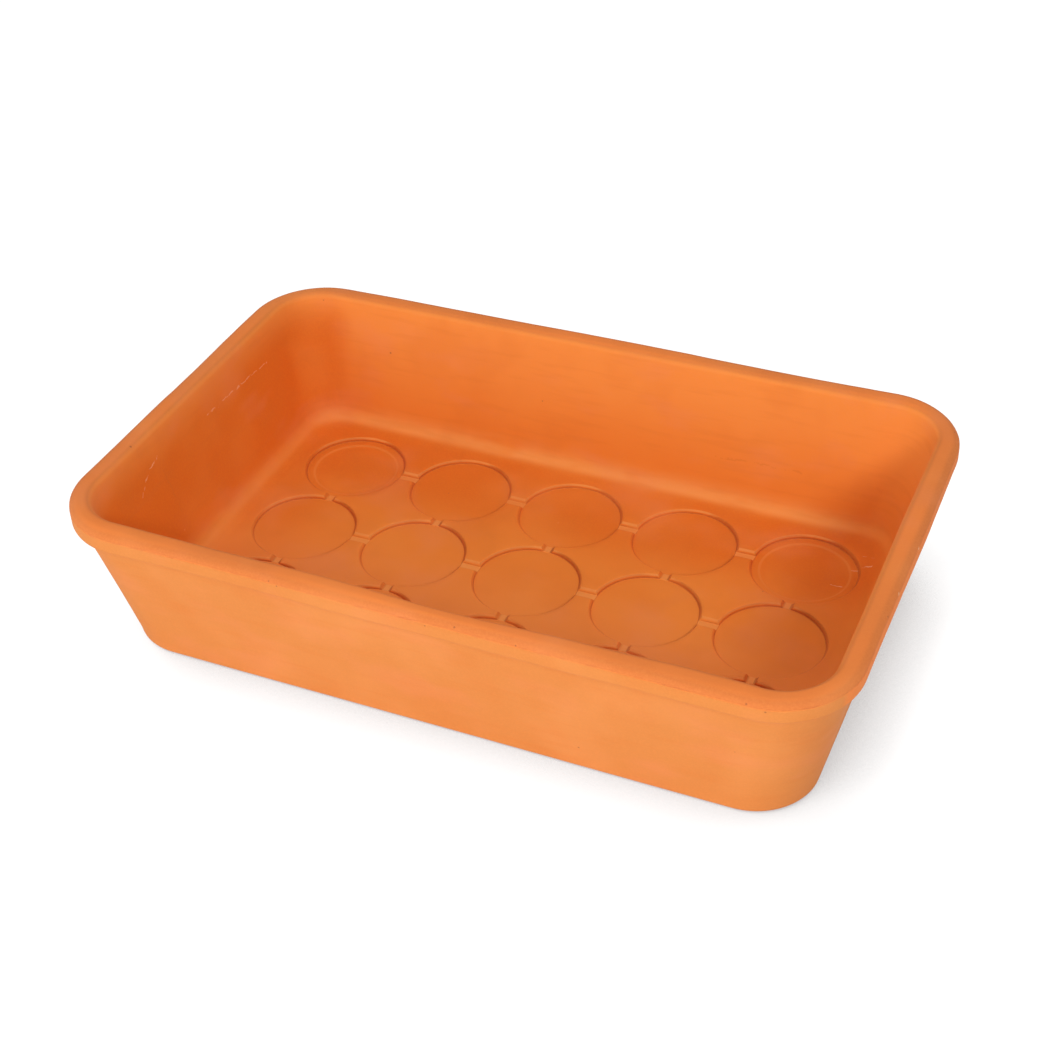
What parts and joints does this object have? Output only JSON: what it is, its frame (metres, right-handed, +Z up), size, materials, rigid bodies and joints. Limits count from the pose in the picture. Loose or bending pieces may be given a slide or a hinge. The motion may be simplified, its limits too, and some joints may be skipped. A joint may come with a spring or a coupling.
{
  "type": "seed tray",
  "caption": "Rectangular fired clay seed tray with sloping walls, a rounded lip and a floor stamped with round pot seats joined by short channels.",
  "frame": {"origin": "under the middle of the flat base, on the surface that the tray stands on", "axes": "+X along the tray's length, +Y to its back long wall, +Z up out of the open top"},
  "size_m": [0.38, 0.239, 0.0825],
  "materials": {
    "terracotta": "matt unglazed fired clay"
  },
  "bodies": {
    "root": {"seed_tray": "terracotta"}
  },
  "joints": []
}
